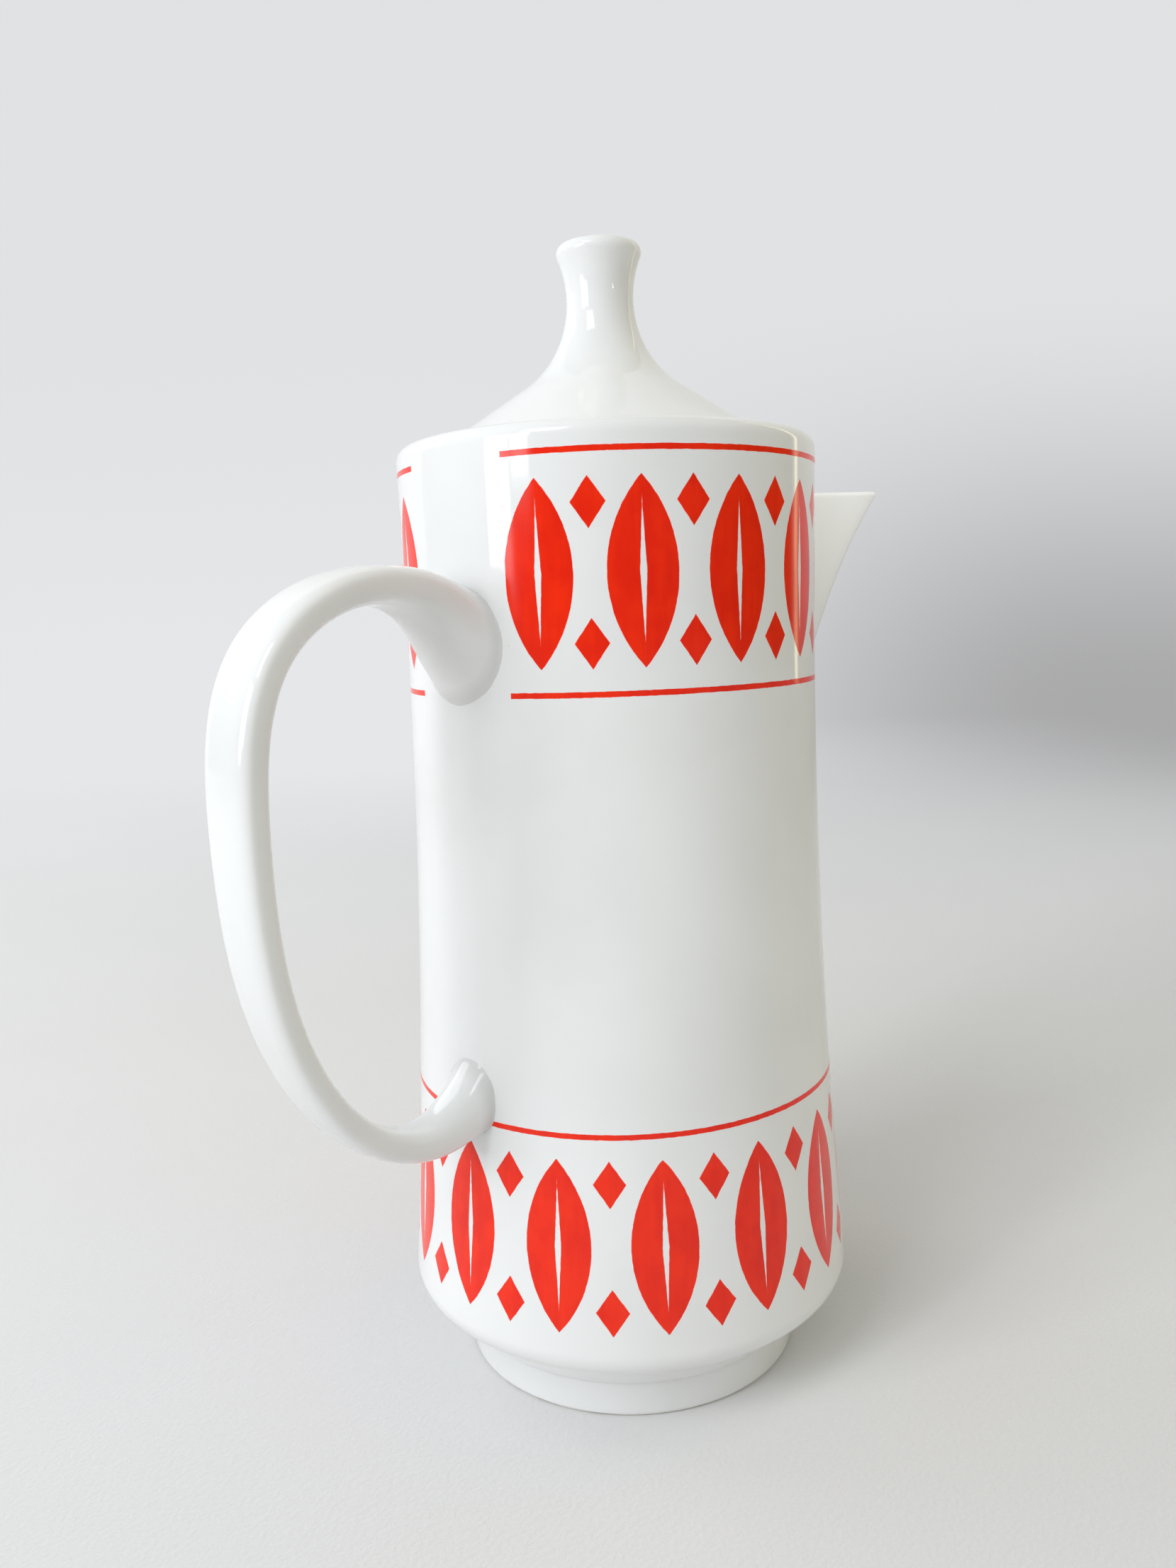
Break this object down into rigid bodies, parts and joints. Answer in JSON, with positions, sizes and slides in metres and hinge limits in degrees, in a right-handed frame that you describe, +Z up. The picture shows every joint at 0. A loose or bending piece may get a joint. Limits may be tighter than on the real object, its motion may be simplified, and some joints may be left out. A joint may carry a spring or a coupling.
{
  "type": "coffee pot",
  "caption": "Tall waisted porcelain coffee pot with a beak spout, an ear-shaped strap handle and a knobbed lift-off lid that sits inside the rim.",
  "frame": {"origin": "centre of the foot ring, on the surface that the pot stands on", "axes": "+Z up along the pot's axis, +X towards the spout, so the handle is at -X"},
  "size_m": [0.2001, 0.098, 0.2421],
  "materials": {
    "body_glaze": "gloss glaze with fired-on orange-red bands",
    "spout_glaze": "gloss glaze",
    "handle_glaze": "gloss glaze",
    "lid_glaze": "gloss glaze"
  },
  "bodies": {
    "pot": {"pot_body": "body_glaze", "spout": "spout_glaze", "handle": "handle_glaze"},
    "lid": {"lid": "lid_glaze"}
  },
  "joints": [
    {"name": "lid_lift", "type": "slide", "parent": "pot", "child": "lid", "axis": [0, 0, 1], "range_m": [0, 0.06]}
  ]
}
